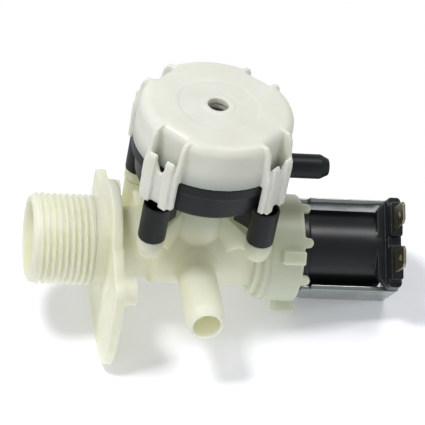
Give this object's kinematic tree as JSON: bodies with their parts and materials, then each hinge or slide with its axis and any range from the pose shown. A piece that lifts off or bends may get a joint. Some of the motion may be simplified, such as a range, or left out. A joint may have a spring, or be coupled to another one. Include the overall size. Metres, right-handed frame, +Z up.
{
  "type": "solenoid valve",
  "caption": "Inlet solenoid valve: threaded male inlet with a mounting plate, hose spigot, spring-loaded regulator under a round cap and a coil in a yoke.",
  "frame": {"origin": "centre of the inlet thread at its first full crest, 1.9 mm inside the mouth", "axes": "+X along the inlet axis from the mouth to the coil, +Z up along the regulator's axis, the hose spigot points to -Y"},
  "size_m": [0.1079, 0.0651, 0.0781],
  "materials": {
    "body_polyamide": "moulded, satin, cream",
    "strainer_plastic": "moulded, satin, natural white",
    "black_rubber": "moulded rubber, matt",
    "plunger_steel": "turned stainless steel",
    "spring_steel": "drawn stainless wire",
    "pole_steel": "plated pole steel",
    "bobbin_plastic": "moulded, satin",
    "copper_wire": "enamelled copper wire",
    "coil_overmould": "moulded, satin, black",
    "tinned_brass": "stamped and tinned",
    "zinc_plated_steel": "stamped, bright zinc plated",
    "ring_plastic": "moulded, satin, charcoal",
    "screw_steel": "zinc plated",
    "cap_polypropylene": "moulded, satin, slightly translucent white"
  },
  "bodies": {
    "valve": {"valve_body": "body_polyamide", "inlet_filter": "strainer_plastic", "flow_washer": "black_rubber", "main_diaphragm": "black_rubber", "guide_tube": "body_polyamide", "plunger_spring": "spring_steel", "pole_washer": "pole_steel", "pole_sleeve": "pole_steel", "bobbin": "bobbin_plastic", "winding": "copper_wire", "coil_shell": "coil_overmould", "spade_terminal_upper": "tinned_brass", "spade_terminal_lower": "tinned_brass", "yoke": "zinc_plated_steel", "riser_seal": "black_rubber", "regulator_seat": "strainer_plastic", "regulator_ring": "ring_plastic", "leg_screws": "screw_steel", "regulator_diaphragm": "black_rubber", "regulator_spring": "spring_steel", "spring_seat": "strainer_plastic", "regulator_cap": "cap_polypropylene"},
    "plunger": {"plunger": "plunger_steel", "plunger_seal": "black_rubber"},
    "servo": {"diaphragm_insert": "strainer_plastic"},
    "regulator_piston": {"piston_plate": "strainer_plastic", "regulator_stem": "strainer_plastic", "poppet_seal": "black_rubber"}
  },
  "joints": [
    {"name": "plunger_slide", "type": "slide", "parent": "valve", "child": "plunger", "axis": [1, 0, 0], "range_m": [0, 0.003], "stiffness_N_per_m": 60, "springref_m": -0.006, "deforming": ["plunger_spring"]},
    {"name": "servo_lift", "type": "slide", "parent": "valve", "child": "servo", "axis": [1, 0, 0], "range_m": [0, 0.002], "deforming": ["main_diaphragm"]},
    {"name": "regulator_lift", "type": "slide", "parent": "valve", "child": "regulator_piston", "axis": [0, 0, 1], "range_m": [0, 0.0023], "stiffness_N_per_m": 1500, "springref_m": -0.004, "deforming": ["regulator_spring", "regulator_diaphragm"]}
  ],
  "couplings": [
    {"joint": "servo_lift", "follows": "plunger_slide", "ratio": 0.6666}
  ]
}
